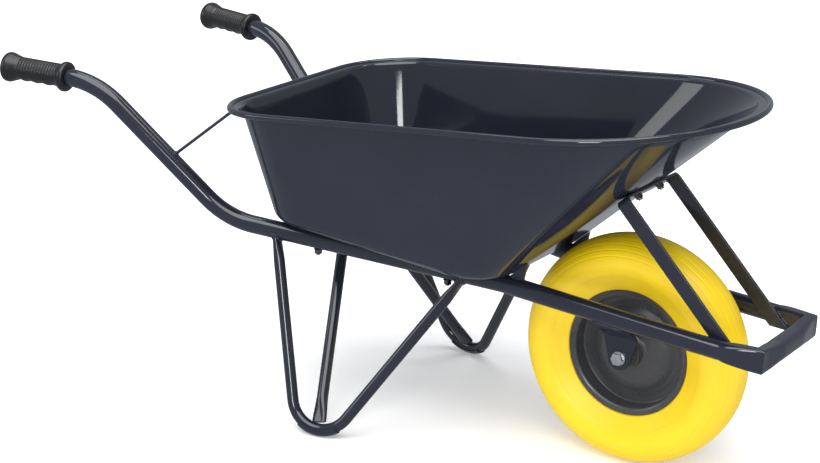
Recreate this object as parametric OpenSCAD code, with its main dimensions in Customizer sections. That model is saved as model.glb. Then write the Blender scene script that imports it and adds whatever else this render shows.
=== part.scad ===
// Builder's wheelbarrow: a one-piece bent tube frame, a pressed steel tray and a puncture-proof wheel.
// +X points forwards, +Z up and +Y to the left of the person pushing it.
// The origin is on the ground, under the middle of the whole barrow.
// A point is worked out from the axle first, and place() then moves it to the origin.

/* [Wheel] */
// Outer diameter of the tyre
wheel_d = 400; // [330:1:480]
// Width of the tyre over its walls
tyre_w = 109; // [90:1:132]
// Depth of the tyre's section, from its tread to the rim's edge
tyre_depth = 90; // [70:1:110]
// Radius at which the tyre sits on the rim
bead_seat_r = 100; // [85:1:112]
// Width between the rim's two edges
rim_w = 67; // [55:1:80]
// Thickness of the rim's sheet
rim_t = 2; // [1.5:0.1:3]
// Outer diameter of the tube that joins the two rim halves
hub_od = 44; // [40:0.5:52]

/* [Axle] */
// Diameter of the axle bolt
axle_d = 12; // [10:0.5:16]
// Outer diameter of each ball bearing
bearing_od = 32; // [28:0.5:36]
// Width of each ball bearing
bearing_w = 10; // [8:0.5:12]
// Balls in each bearing
balls = 8; // [6:1:9]
// Space between the tyre and each axle bracket
side_gap = 5.5; // [4:0.5:10]
// Thickness of the axle bracket's plate
bracket_t = 4; // [3:0.5:6]
// Length of the axle bracket along the rail
bracket_w = 60; // [46:1:76]

/* [Frame tube] */
// Outer diameter of the frame tube
tube_od = 32; // [27:0.5:38]
// Wall of the frame tube
tube_wall = 1.5; // [1.2:0.1:3]
// Distance between the two rails beside the wheel
rail_spacing = 220; // [190:1:264]
// Height of the rails above the axle, at the axle
rail_rise = 88; // [76:1:106]
// Slope of the rails, rising towards the handles, in degrees
rail_slope = 3.7; // [2:0.1:6]
// Space between the tyre and the fold in the nose bar
nose_gap = 73; // [60:1:90]
// Height of the fold in each corner of the nose
nose_fold = 40; // [34:1:46]
// Behind the axle, where the rails start to splay
splay_back = 204; // [180:1:250]
// Behind the axle, where the rails turn up into the handles
heel_back = 717; // [600:1:860]
// Distance between the two heel bends
heel_spread = 398; // [340:1:470]
// Behind the axle, where the handles level out
wrist_back = 960; // [810:1:1150]
// Distance between the two handles where they level out
wrist_spread = 530; // [450:1:620]
// Height of the handles above the rails at the heel
handle_rise = 220; // [180:1:264]
// Radius of the bends in the handles
handle_bend = 150; // [110:5:190]

/* [Grips] */
// Behind the axle, the closed end of each grip
grip_reach = 1146; // [1110:1:1370]
// Distance between the middles of the closed ends
grip_spread = 589; // [520:1:690]
// Length of each grip
grip_length = 132; // [110:1:160]
// Diameter of the grip under the hand
grip_od = 42; // [38:0.5:50]
// Diameter of the grip's flared end and of its collar
grip_flare = 54; // [48:0.5:62]
// Thickness of the closed end
grip_end = 5; // [3:0.5:8]

/* [Legs] */
// Outer diameter of the leg and brace tubes
leg_od = 20; // [18:0.5:25]
// Wall of the leg and brace tubes
leg_wall = 1.5; // [1.2:0.1:3]
// Behind the axle, where the leg's rear tube meets the rail
leg_rear_back = 622; // [560:1:680]
// Behind the axle, where the leg's front tube meets the rail
leg_front_back = 268; // [230:1:310]
// Behind the axle, the middle of the foot
foot_back = 474; // [430:1:520]
// Distance between the middles of the two feet
foot_spread = 506; // [430:1:600]
// Radius of the bend at the foot
foot_bend = 57; // [48:1:68]
// Behind the axle, where the brace meets the tray
brace_back = 575; // [540:1:606]
// Thickness of the wear plate under each foot
shoe_t = 2; // [1.5:0.5:4]
// How far the wear plate reaches each way round the foot's bend, in degrees
shoe_reach = 34; // [20:1:40]

/* [Tray] */
// Thickness of the tray's sheet
sheet_t = 1.5; // [1:0.1:3]
// Space between the tyre and the tray's front wall
tray_gap = 13.7; // [10:0.1:30]
// Length of the floor, between the lines where it meets the front and rear walls
floor_l = 452.6; // [400:0.1:550]
// Width of the floor, between the lines where it meets the side walls
floor_w = 404; // [380:1:470]
// Radius of the floor's rear corners
floor_rear_r = 75; // [60:1:100]
// Radius of the floor's front corners
floor_front_r = 91; // [70:1:110]
// Radius of the rounded edge between the floor and the walls
edge_r = 29; // [20:1:36]
// How far the front wall reaches forwards of the floor
front_rake = 349; // [300:1:400]
// How far the rear wall reaches back behind the floor
rear_rake = 57.4; // [40:0.1:70]
// Width of the tray inside its lip
mouth_w = 503; // [490:1:600]
// Radius of the mouth's rear corners
mouth_rear_r = 105; // [80:1:130]
// Height of the lip above the rails' middle, straight up from the axle
rim_rise = 326; // [280:1:390]
// Slope of the lip, rising towards the nose, in degrees
rim_slope = 5.7; // [3:0.1:8]
// How far the lip reaches outwards to the middle of its bead
lip_out = 21; // [14:1:26]
// Diameter of the rolled bead
bead_d = 11; // [8:0.5:14]

/* [Supports and fasteners] */
// Width of the flat bar in the front stay
stay_w = 25; // [20:1:32]
// Thickness of the flat bar in the front stay
stay_t = 5; // [4:0.5:6]
// Slope of the front stay's legs, in degrees below level
stay_slope = 45.8; // [42:0.1:50]
// In front of the axle, the middle of the stay where it meets the tray
stay_front = -2; // [-20:1:12]
// Thickness of the saddle plates on the rails
saddle_t = 5; // [3:0.5:8]
// Diameter of the rod between the handles
rod_d = 6; // [5:0.5:10]
// How far the rod's ends lie down the handles, from the wrist to the heel
rod_share = 0.56; // [0.4:0.01:0.7]
// Diameter of the tray bolts
bolt_d = 8; // [6:0.5:8]
// Behind the axle, the rear pair of tray bolts
bolt_rear_back = 540; // [510:1:560]
// Behind the axle, the front pair of tray bolts
bolt_front_back = 300; // [290:1:330]

/* [Clearances] */
// Between pieces that are welded or clamped together
weld_gap = 0.05; // [0.02:0.01:0.2]
// Radial, between a bolt and its hole
bolt_clear = 0.3; // [0.2:0.1:0.5]
// Radial, between the axle bolt and what slides on to it
axle_clear = 0.04; // [0.02:0.01:0.08]
// Radial, between the bearing balls and their rings
ball_clear = 0.05; // [0.02:0.01:0.08]

/* [Hidden] */

slate = [0.24, 0.26, 0.32];
black = [0.08, 0.08, 0.09];
zinc = [0.75, 0.76, 0.78];
yellow = [0.98, 0.84, 0.08];
wheel_grey = [0.25, 0.26, 0.28];

fine = 48;            // sides on tubes and turned pieces, true circles once built
tube_r = tube_od / 2;
leg_r = leg_od / 2;
rod_r = rod_d / 2;
wheel_r = wheel_d / 2;
axle_r = axle_d / 2;
rail_half = rail_spacing / 2;
rail_fall = tan(rail_slope);      // rise of the rails for each mm towards the handles
rim_climb = tan(rim_slope);       // rise of the lip for each mm towards the nose
reach = 40;                       // how far a cutting solid runs past what it cuts

// ---------- vectors ----------
function unit(v) = v / norm(v);
function flip(p) = [p[0], -p[1], p[2]];
function side_of(p, side) = [p[0], side * p[1], p[2]];
function between(a, b, share) = a + (b - a) * share;

// ---------- frame line, from the axle, on the left ----------
function rail_z(x) = wheel_r + rail_rise - rail_fall * x;
nose_x = wheel_r + nose_gap;
splay_pt = [-splay_back, rail_half, rail_z(-splay_back)];
heel_pt = [-heel_back, heel_spread / 2, rail_z(-heel_back)];
wrist_pt = [-wrist_back, wrist_spread / 2, heel_pt[2] + handle_rise];
grip_pt = [-grip_reach, grip_spread / 2, wrist_pt[2] + 5];
nose_pt = [nose_x, rail_half, rail_z(nose_x)];
grip_dir = unit(wrist_pt - grip_pt);
tube_end = grip_pt + grip_dir * grip_end;
grip_rim = 6;                     // width of the rounding round the grip's closed end
grip_lean = (grip_flare / 2 - grip_rim) * sqrt(1 - grip_dir[0] * grip_dir[0]);
nose_swell = tube_r / 2;          // how far the nose bar stands in front of its two folds
splay_bend = 120;                 // radius of the slight bend where the rails splay

// the splayed rail's distance from the middle
splay_share = (heel_spread / 2 - rail_half) / (heel_back - splay_back);
function rail_y(x) = x > -splay_back ? rail_half : rail_half + splay_share * (-splay_back - x);
function rail_point(x) = [x, rail_y(x), rail_z(x)];

// middle of the barrow's length, from the axle
back_x = grip_pt[0] - grip_lean;
front_x = nose_x + nose_swell;
mid_x = (back_x + front_x) / 2;

// ---------- tray ----------
// the floor rests on the rails, and the front wall clears the tyre by tray_gap
function floor_z(x) = rail_z(x) + tube_r * sqrt(1 + rail_fall * rail_fall) + weld_gap;
function rim_z(x) = wheel_r + rail_rise + rim_rise + rim_climb * x;
lip_t = sheet_t / 2;
lip_turn = 4;                     // size of the turn from the wall to the lip
// slope of the front wall, for a floor that ends at x
function wall_lean(x) = atan2(rim_z(x + front_rake) - lip_t - lip_turn - floor_z(x), front_rake);
// distance from the axle to a wall whose foot is at x
function wall_gap(x) = (floor_z(x) - wheel_r) * cos(wall_lean(x)) - x * sin(wall_lean(x));
// the foot's place is found by stepping towards the wanted gap
function wall_foot(x, steps) =
  steps == 0 ? x : wall_foot(x - (wheel_r + tray_gap - wall_gap(x)) / sin(wall_lean(x)), steps - 1);
floor_front = wall_foot(-190, 12);
floor_rear = floor_front - floor_l;
mouth_front = floor_front + front_rake;
mouth_rear = floor_rear - rear_rake;
front_lean = wall_lean(floor_front);

arc_steps = 12;                   // points on each corner of an outline, less one
corner_starts = [180, 270, 0, 90];
// one corner of an outline: middle, radius and the angle at which it starts
function corner(cx, cy, r, start) =
  [for (k = [0:arc_steps]) [cx + r * cos(start + 90 * k / arc_steps), cy + r * sin(start + 90 * k / arc_steps)]];
// a closed outline with two rear and two front corners, anticlockwise from above
function outline(x_rear, x_front, half, r_rear, r_front) = concat(
  corner(x_rear + r_rear, -half + r_rear, r_rear, 180),
  corner(x_front - r_front, -half + r_front, r_front, 270),
  corner(x_front - r_front, half - r_front, r_front, 0),
  corner(x_rear + r_rear, half - r_rear, r_rear, 90));
// ring of the tray near its lip: out from the mouth, and up from the lip's middle
function mouth_ring(out, up) =
  [for (p = outline(mouth_rear - out, mouth_front + out, mouth_w / 2 + out,
                    mouth_rear_r + out, mouth_w / 2 + out))
    [p[0], p[1], rim_z(p[0]) + up]];

// the line where the floor would meet the walls without its rounded edge, and the walls' upper end
floor_line = [for (p = outline(floor_rear, floor_front, floor_w / 2, floor_rear_r, floor_front_r))
  [p[0], p[1], floor_z(p[0])]];
wall_top = mouth_ring(0, -lip_t - lip_turn);
last = len(floor_line) - 1;
// at each point of that line: square to the floor, along the line, out from the floor and up the wall
floor_up = unit([rail_fall, 0, 1]);
line_way = [for (start = corner_starts, k = [0:arc_steps]) let (a = start + 90 * k / arc_steps)
  unit([-sin(a), cos(a), rail_fall * sin(a)])];
line_out = [for (way = line_way) cross(way, floor_up)];
wall_way = [for (j = [0:last]) let (up = wall_top[j] - floor_line[j])
  unit(up - line_way[j] * (up * line_way[j]))];
// the angle through which the sheet bends there, and the middle of the bend
bend_turn = [for (j = [0:last]) acos(line_out[j] * wall_way[j])];
bend_mid = [for (j = [0:last])
  floor_line[j] - line_out[j] * edge_r * tan(bend_turn[j] / 2) + floor_up * edge_r];
// ring of the rounded edge, at a radius and at a share of the bend
function edge_ring(r, share) =
  [for (j = [0:last]) let (a = bend_turn[j] * share)
    bend_mid[j] - floor_up * r * cos(a) + line_out[j] * r * sin(a)];
// ring at the walls' upper end, inside their outer face by a thickness
function wall_ring(t) =
  [for (j = [0:last]) wall_top[j] + (floor_up * cos(bend_turn[j]) - line_out[j] * sin(bend_turn[j])) * t];

edge_steps = 6;                   // rings round the floor's rounded edge
bead_steps = 10;                  // rings round the rolled bead
bead_r = bead_d / 2;
// angle at which the lip's faces enter the bead
bead_in = asin(lip_t / bead_r);
tray_rings = concat(
  [for (k = [0:edge_steps]) edge_ring(edge_r, k / edge_steps)],
  [wall_ring(0), mouth_ring(lip_turn, -lip_t)],
  [for (k = [0:bead_steps]) let (a = 180 + bead_in + (360 - 2 * bead_in) * k / bead_steps)
    mouth_ring(lip_out + bead_r * cos(a), bead_r * sin(a))],
  [mouth_ring(lip_turn - sheet_t, lip_t), wall_ring(sheet_t)],
  [for (k = [edge_steps:-1:0]) edge_ring(edge_r - sheet_t, k / edge_steps)]);

// ---------- legs and brace ----------
leg_rear_top = rail_point(-leg_rear_back);
leg_front_top = rail_point(-leg_front_back);
foot_low = [-foot_back, foot_spread / 2, shoe_t + weld_gap + leg_r];
brace_low = foot_low + [0, 0, leg_r * 0.3];
brace_top = [-brace_back, 0, floor_z(-brace_back) - 10 * weld_gap - leg_r];

// ---------- front stay ----------
stay_dir = [cos(stay_slope), 0, -sin(stay_slope)];
function front_wall_z(x) = floor_z(floor_front) + (x - floor_front) * tan(front_lean);
// the stay's crossing is a little steeper than the wall, and its upper edge touches the wall
stay_tilt = 90 - stay_slope - front_lean;
stay_drop = (stay_w / 2 * abs(sin(stay_tilt)) + weld_gap) / cos(front_lean);
stay_top = [stay_front, 0, front_wall_z(stay_front) - stay_drop];
stay_half = rail_half - tube_r - weld_gap;
// the stay's legs pass the rails' undersides, and are then cut level with them
stay_len = (stay_top[2] + stay_w * cos(stay_slope) - rail_z(stay_front) + tube_r)
  / (sin(stay_slope) - rail_fall * cos(stay_slope));
stay_bend = 10;                   // outer radius of the stay's two bends

// ---------- fasteners ----------
head_r = bolt_d * 1.1;            // radius of the domed heads
// half the width of the floor's flat part, between its rounded edges
flat_half = floor_w / 2 - edge_r * tan(bend_turn[3 * (arc_steps + 1)] / 2);
// the rear bolts stand where the splaying rails still run under that flat part
bolt_rear = min(bolt_rear_back, splay_back + (flat_half - head_r - rail_half) / splay_share);
tray_bolt_pts = [for (x = [-bolt_rear, -bolt_front_back], side = [1, -1]) side_of(rail_point(x), side)];
// half the width of the front wall's flat part, which narrows from the floor to a point at the lip
function flat_front(x) = (floor_w / 2 - floor_front_r) * (1 - (x - floor_front) / front_rake);
// from the middle to each stay bolt, whose whole head lies on that flat part
stay_bolt_y = flat_front(stay_front + head_r) - head_r;
nut_af = bolt_d * 1.625;          // across flats of the tray bolts' nuts
nut_h = bolt_d * 0.8;
washer_t = 1.6;
washer_r = bolt_d;
head_h = bolt_d * 0.5;
head_in = 0.5;                    // how far a bolt's shank runs into its head
bolt_past = 3;                    // how far a bolt's end stands past its nut

// ---------- axle, outwards from the middle ----------
bracket_in = tyre_w / 2 + side_gap;
bracket_out = bracket_in + bracket_t;
hub_half = 48;                    // half the length of the hub tube
bearing_in = hub_half - bearing_w;
inner_ring_r = axle_r + 3.2;      // outside of the bearing's inner ring
outer_ring_r = bearing_od / 2;
ball_ring_r = (inner_ring_r + outer_ring_r - 2.6) / 2;
ball_r = (outer_ring_r - 2.6 - inner_ring_r) / 2 + 0.9;
axle_washer_t = 2.5;
axle_nut_h = axle_d * 0.8;
axle_head_h = axle_d * 0.625;
axle_af = axle_d * 1.583;
end_y = bracket_out + axle_washer_t + weld_gap;

// ---------- building blocks ----------
module place() {
  translate([-mid_x, 0, 0]) children();
}

// stand a solid made along +Z on a point, leaning along a direction
module along(p, d) {
  u = unit(d);
  translate(p)
    rotate([0, acos(u[2]), atan2(u[1], u[0])])
      children();
}

// straight round bar between two points
module bar(a, b, r) {
  along(a, b - a) cylinder(r = r, h = norm(b - a), $fn = fine);
}

// distance from a corner to where its bend starts
function setback(a, p, b, radius) =
  radius * tan(acos(unit(p - a) * unit(b - p)) / 2);

// points round the bend that rounds the corner at p between a and b
function bend_points(a, p, b, radius, steps) =
  let (
    u = unit(p - a),
    v = unit(b - p),
    inward = unit(v - u * (u * v)),
    middle = p - u * setback(a, p, b, radius) + inward * radius,
    turn = acos(u * v)
  )
  [for (k = [0:steps]) middle - inward * (radius * cos(turn * k / steps)) + u * (radius * sin(turn * k / steps))];

function turned_back(list) = [for (k = [len(list) - 1:-1:0]) list[k]];

// direction of a path at one of its points
function way_at(path, k) =
  k == 0 ? unit(path[1] - path[0])
  : k == len(path) - 1 ? unit(path[k] - path[k - 1])
  : unit(unit(path[k] - path[k - 1]) + unit(path[k + 1] - path[k]));

// ring of points round a path: size is its half width across "up" and its half height along it
function ring_at(path, k, size, up, sides) =
  let (
    t = way_at(path, k),
    across = unit(cross(t, up)),
    high = cross(across, t)
  )
  [for (j = [0:sides - 1]) let (a = 360 * (j + 0.5) / sides)
    path[k] + across * (size[0] * cos(a)) + high * (size[1] * sin(a))];

// the four-cornered faces between one ring and the next, as triangles
function skin_faces(rings, sides, first, outward) =
  [for (i = [0:rings - 2], j = [0:sides - 1])
    let (
      a = first + i * sides + j,
      b = first + i * sides + (j + 1) % sides,
      c = b + sides,
      d = a + sides
    )
    each (outward ? [[a, b, c], [a, c, d]] : [[a, c, b], [a, d, c]])];

// solid bar swept along a path
module rod(path, r, up, sides) {
  n = len(path);
  points = [for (k = [0:n - 1]) each ring_at(path, k, [r, r], up, sides)];
  first = [for (j = [sides - 1:-1:0]) j];
  last = [for (j = [0:sides - 1]) (n - 1) * sides + j];
  polyhedron(points = points, faces = concat(skin_faces(n, sides, 0, true), [first, last]), convexity = 6);
}

// hollow tube swept along a path, with its own outside size at each point
module pipe(path, sizes, wall, up, sides) {
  n = len(path);
  skin = n * sides;
  outer = [for (k = [0:n - 1]) each ring_at(path, k, sizes[k], up, sides)];
  inner = [for (k = [0:n - 1]) each ring_at(path, k, sizes[k] - [wall, wall], up, sides)];
  ends = [for (j = [0:sides - 1])
    let (
      i = (j + 1) % sides,
      e = (n - 1) * sides
    )
    each [[j, skin + j, skin + i], [j, skin + i, i],
          [e + j, e + i, skin + e + i], [e + j, skin + e + i, skin + e + j]]];
  faces = concat(skin_faces(n, sides, 0, true), skin_faces(n, sides, skin, false), ends);
  polyhedron(points = concat(outer, inner), faces = faces, convexity = 8);
}

// ---------- frame ----------
fold_run = 36;                    // length of tube that each crushed corner takes up
fold_deep = 18;                   // how far the fold reaches in from the corner, along X and Y
// the left half of the tube's line, from the handle's end to the middle of the nose bar
left_path = concat(
  [tube_end],
  bend_points(grip_pt, wrist_pt, heel_pt, handle_bend, 8),
  bend_points(wrist_pt, heel_pt, splay_pt, handle_bend, 6),
  bend_points(heel_pt, splay_pt, nose_pt, splay_bend, 2),
  [rail_point(nose_x - fold_run)],
  [nose_pt - [fold_deep / 2, fold_deep / 2, 0]],
  [[nose_x + nose_swell - tube_r, rail_half - fold_run, nose_pt[2]]]);
// half width and half height of the tube at each of those points
left_sizes = [for (k = [0:len(left_path) - 1])
  k == len(left_path) - 2 ? [fold_deep * sqrt(2) / 2, nose_fold / 2] : [tube_r, tube_r]];

// the left rail from the heel to the nose, a weld's gap larger, to cut what is welded to it
module rail_cutter() {
  line = concat([rail_point(-leg_rear_back - reach)],
    bend_points(heel_pt, splay_pt, nose_pt, splay_bend, 2), [rail_point(nose_x - fold_run)]);
  rod(line, tube_r + weld_gap, [0, 0, 1], 24);
}

module frame_tube() {
  path = concat(left_path, [for (p = turned_back(left_path)) flip(p)]);
  sizes = concat(left_sizes, turned_back(left_sizes));
  color(slate)
    place()
      difference() {
        pipe(path, sizes, tube_wall, [0, 0, 1], 24);
        for (p = tray_bolt_pts)
          bolt_line(p) cylinder(r = bolt_d / 2 + bolt_clear, h = tube_od * 3, center = true, $fn = fine);
      }
}

// a frame on a rail's middle whose Z is square to the rails
module bolt_line(p) {
  translate(p)
    rotate([0, rail_slope, 0])
      children();
}

// ---------- grips ----------
// turned along +Z from the closed end
module grip_shape() {
  collar = 12;
  // no longer than the tube's straight end
  l = min(grip_length, norm(wrist_pt - grip_pt) - setback(grip_pt, wrist_pt, heel_pt, handle_bend));
  difference() {
    rotate_extrude($fn = fine)
      polygon([
        [0, 0], [grip_flare / 2 - grip_rim, 0], [grip_flare / 2 - 1.5, 2.5], [grip_flare / 2, 8],
        [grip_flare / 2 - 1, 14], [grip_od / 2 + 1, 24], [grip_od / 2, 34],
        [grip_od / 2, l - collar - 6], [grip_od / 2 + 2, l - collar - 2],
        [grip_flare / 2 - 1, l - collar], [grip_flare / 2, l - collar / 2],
        [grip_flare / 2 - 2, l - 1.5], [grip_flare / 2 - 5, l], [0, l]
      ]);
    translate([0, 0, grip_end - weld_gap]) cylinder(r = tube_r + weld_gap, h = l, $fn = fine);
  }
}

module grip_left() {
  color(black) place() along(grip_pt, grip_dir) grip_shape();
}

module grip_right() {
  color(black) place() mirror([0, 1, 0]) along(grip_pt, grip_dir) grip_shape();
}

// ---------- legs ----------
// the line of a V from one top, round a bend whose turning point is low, to the other top
function vee_path(top_a, low, top_b, up, radius, past) =
  let (
    n = unit(cross(top_a - low, top_b - low)),
    level = unit(cross(up, n)),
    g = unit(cross(n, level)),
    o = low + g * radius,
    angle_a = atan2((top_a - o) * level, -(top_a - o) * g),
    angle_b = atan2((top_b - o) * level, -(top_b - o) * g),
    // angles of the two places where the straights leave the bend
    from_a = angle_a - sign(angle_a) * acos(radius / norm(top_a - o)),
    from_b = angle_b - sign(angle_b) * acos(radius / norm(top_b - o)),
    steps = 10,
    round_part = [for (k = [0:steps]) let (a = from_a + (from_b - from_a) * k / steps)
      o + (level * sin(a) - g * cos(a)) * radius]
  )
  concat(
    [top_a + unit(top_a - round_part[0]) * past],
    round_part,
    [top_b + unit(top_b - round_part[steps]) * past]);

function vee_normal(top_a, low, top_b) = unit(cross(top_a - low, top_b - low));
function all_round(path, r) = [for (p = path) [r, r]];

leg_path = vee_path(leg_rear_top, foot_low, leg_front_top, [0, 0, 1], foot_bend, 0);
leg_normal = vee_normal(leg_rear_top, foot_low, leg_front_top);
brace_path = vee_path(brace_low, brace_top, flip(brace_low), [0, 0, -1], foot_bend, 0);
brace_normal = vee_normal(brace_low, brace_top, flip(brace_low));

module left_leg() {
  difference() {
    pipe(leg_path, all_round(leg_path, leg_r), leg_wall, leg_normal, 16);
    rail_cutter();
  }
}

module leg_left() {
  color(slate) place() left_leg();
}

module leg_right() {
  color(slate) place() mirror([0, 1, 0]) left_leg();
}

// one tube from foot to foot, its bend just under the tray's floor
module leg_brace() {
  color(slate)
    place()
      difference() {
        pipe(brace_path, all_round(brace_path, leg_r), leg_wall, brace_normal, 16);
        for (side = [0, 1])
          mirror([0, side, 0]) rod(leg_path, leg_r + 4 * weld_gap, leg_normal, 16);
      }
}

// wear plate wrapped under the foot's bend
module left_shoe() {
  n = unit(cross(leg_rear_top - foot_low, leg_front_top - foot_low));
  level = unit(cross([0, 0, 1], n));
  g = unit(cross(n, level));
  o = foot_low + g * foot_bend;
  start = level * sin(-shoe_reach) - g * cos(-shoe_reach);
  way = level * cos(-shoe_reach) + g * sin(-shoe_reach);
  w = cross(start, way);
  inner = leg_r + weld_gap;
  multmatrix([[start[0], way[0], w[0], o[0]], [start[1], way[1], w[1], o[1]],
              [start[2], way[2], w[2], o[2]], [0, 0, 0, 1]])
    rotate_extrude(angle = 2 * shoe_reach, $fn = 96)
      translate([foot_bend, 0])
        difference() {
          circle(r = inner + shoe_t, $fn = fine);
          circle(r = inner, $fn = fine);
          translate([-reach, -reach]) square([reach, 2 * reach]);
        }
}

module foot_shoe_left() {
  color(slate) place() left_shoe();
}

module foot_shoe_right() {
  color(slate) place() mirror([0, 1, 0]) left_shoe();
}

// ---------- axle brackets ----------
// plate that drops from the rail's underside, leans in and hangs beside the tyre
module left_bracket() {
  top_z = rail_z(0) - tube_r;
  lean_z = top_z - 34;              // where the plate leaves off leaning in and hangs upright
  boss_r = axle_d * 1.75;           // radius of the plate's rounded lower end
  half = bracket_w / 2;
  up = tube_r / 2;
  difference() {
    intersection() {
      rotate([90, 0, 90])
        linear_extrude(height = bracket_w, center = true)
          polygon([
            [rail_half + up, top_z + up], [rail_half - up, top_z + up], [bracket_in, lean_z],
            [bracket_in, wheel_r - 2 * boss_r], [bracket_out, wheel_r - 2 * boss_r], [bracket_out, lean_z - 1],
            [rail_half - up, top_z - bracket_t], [rail_half + up, top_z - bracket_t]
          ]);
      rotate([90, 0, 0])
        linear_extrude(height = 2 * rail_spacing, center = true)
          polygon(concat(
            [[-half, lean_z - 4], [-half, top_z + tube_r], [half, top_z + tube_r], [half, lean_z - 4]],
            [for (a = [0:-10:-180]) [boss_r * cos(a), wheel_r + boss_r * sin(a)]]));
    }
    rail_cutter();
    translate([0, bracket_in - 1, wheel_r])
      rotate([-90, 0, 0])
        cylinder(r = axle_r + bolt_clear, h = bracket_t + 2, $fn = fine);
  }
}

module axle_bracket_left() {
  color(slate) place() left_bracket();
}

module axle_bracket_right() {
  color(slate) place() mirror([0, 1, 0]) left_bracket();
}

// ---------- front stay ----------
// flat bar bent into a portal: its crossing lies on the tray, its legs stand inside the rails
module front_stay() {
  color(slate)
    place()
      difference() {
        translate(stay_top)
          rotate([0, stay_slope, 0])
            stay_bar();
        bolt_line([nose_x, 0, rail_z(nose_x)])
          translate([-4 * reach, -rail_spacing, -tube_r - 2 * reach])
            cube([8 * reach, 2 * rail_spacing, 2 * reach]);
      }
}

// the whole bar, its crossing at x = 0 and its legs along +X
module stay_bar() {
  difference() {
    translate([0, 0, -stay_w / 2])
      linear_extrude(height = stay_w)
        difference() {
          portal(stay_half, stay_bend, 0);
          portal(stay_half - stay_t, stay_bend - stay_t, stay_t);
        }
    for (side = [-1, 1])
      translate([0, side * stay_bolt_y, 0])
        rotate([0, 90, 0])
          cylinder(r = bolt_d / 2 + bolt_clear, h = 4 * stay_t, center = true, $fn = fine);
  }
}

// outline of the portal, its crossing at x = from and its legs running along +X
module portal(half, r, from) {
  run = from == 0 ? stay_len : stay_len + reach;
  for (side = [-1, 1])
    translate([from + r, side * (half - r)]) circle(r = r, $fn = fine);
  translate([from, -half + r]) square([run - from, 2 * half - 2 * r]);
  translate([from + r, -half]) square([run - from - r, 2 * half]);
}

// ---------- saddles ----------
// small upright plate on the rail, under the foot of the tray's front wall
module left_saddle() {
  // where the floor's line passes over the rail, which may be round the floor's front corner
  beside = max(0, rail_half - floor_w / 2 + floor_front_r);
  foot = floor_front - floor_front_r + sqrt(pow(floor_front_r, 2) - pow(beside, 2));
  foot_rear = foot + 2;
  foot_front = foot + 25;
  tip_x = foot + 34;
  shift = floor_front - foot;
  clear = 4 * weld_gap;
  difference() {
    translate([0, rail_half, 0])
      rotate([90, 0, 0])
        linear_extrude(height = saddle_t, center = true)
          polygon([
            [foot_rear, rail_z(foot_rear)], [foot_front, rail_z(foot_front)],
            [tip_x, front_wall_z(tip_x + shift) - clear], [foot_rear, front_wall_z(foot_rear + shift) - clear]
          ]);
    rail_cutter();
  }
}

module saddle_left() {
  color(slate) place() left_saddle();
}

module saddle_right() {
  color(slate) place() mirror([0, 1, 0]) left_saddle();
}

// ---------- rear rod ----------
// round rod from handle to handle, running under the lip behind the tray
rod_bend = 22;                    // radius of the rod's two bends
module rear_rod() {
  low = between(wrist_pt, heel_pt, rod_share);
  high = [mouth_rear - rod_r - 1.5, 200, rim_z(mouth_rear) - bead_r - rod_r - 2];
  half = concat([low], bend_points(low, high, flip(high), rod_bend, 6));
  path = concat(half, [for (p = turned_back(half)) flip(p)]);
  color(slate)
    place()
      difference() {
        rod(path, rod_r, vee_normal(low, high, flip(high)), 12);
        for (side = [0, 1])
          mirror([0, side, 0])
            bar(between(wrist_pt, heel_pt, 0.3), between(wrist_pt, heel_pt, 0.75), tube_r + weld_gap);
      }
}

// ---------- tray ----------
module tray_shell() {
  n = len(tray_rings[0]);
  m = len(tray_rings);
  pts = [for (ring = tray_rings, p = ring) p];
  sides = [for (i = [0:m - 2], j = [0:n - 1])
    each [[i * n + j, (i + 1) * n + j, i * n + (j + 1) % n],
          [i * n + (j + 1) % n, (i + 1) * n + j, (i + 1) * n + (j + 1) % n]]];
  under = [for (j = [0:n - 1]) j];
  over = [for (j = [n - 1:-1:0]) (m - 1) * n + j];
  polyhedron(points = pts, faces = concat(sides, [under, over]), convexity = 6);
}

module tray() {
  color(slate)
    place()
      difference() {
        tray_shell();
        for (p = tray_bolt_pts)
          bolt_line(p)
            translate([0, 0, tube_r - 2])
              cylinder(r = bolt_d / 2 + bolt_clear, h = 8, $fn = fine);
        for (side = [-1, 1])
          stay_bolt_place(side) cylinder(r = bolt_d / 2 + bolt_clear, h = 60, center = true, $fn = fine);
      }
}

// ---------- tray bolts: domed head inside the tray, square to the rails ----------
module dome(r, h) {
  ball = (r * r + h * h) / (2 * h);
  intersection() {
    translate([0, 0, h - ball]) sphere(r = ball, $fn = 64);
    cylinder(r = r, h = h + 1, $fn = fine);
  }
}

// where the sheet's top face lies above the rail's middle, square to the rails
sheet_top = tube_r + weld_gap + sheet_t;
module tray_bolts() {
  color(zinc)
    place()
      for (p = tray_bolt_pts)
        bolt_line(p) {
          translate([0, 0, sheet_top + weld_gap]) dome(head_r, head_h);
          translate([0, 0, -tube_r - washer_t - nut_h - bolt_past])
            cylinder(r = bolt_d / 2, h = tube_r + washer_t + nut_h + bolt_past + sheet_top + head_in, $fn = fine);
        }
}

module tray_washers() {
  color(zinc)
    place()
      for (p = tray_bolt_pts)
        bolt_line(p)
          translate([0, 0, -tube_r - weld_gap - washer_t])
            difference() {
              cylinder(r = washer_r, h = washer_t, $fn = fine);
              translate([0, 0, -1]) cylinder(r = bolt_d / 2 + bolt_clear, h = washer_t + 2, $fn = fine);
            }
}

module nut(af, h, bore) {
  difference() {
    cylinder(r = af / 2 / cos(30), h = h, $fn = 6);
    translate([0, 0, -1]) cylinder(r = bore, h = h + 2, $fn = fine);
  }
}

module tray_nuts() {
  color(zinc)
    place()
      for (p = tray_bolt_pts)
        bolt_line(p)
          translate([0, 0, -tube_r - washer_t - 2 * weld_gap - nut_h])
            nut(nut_af, nut_h, bolt_d / 2 + axle_clear);
}

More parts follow.
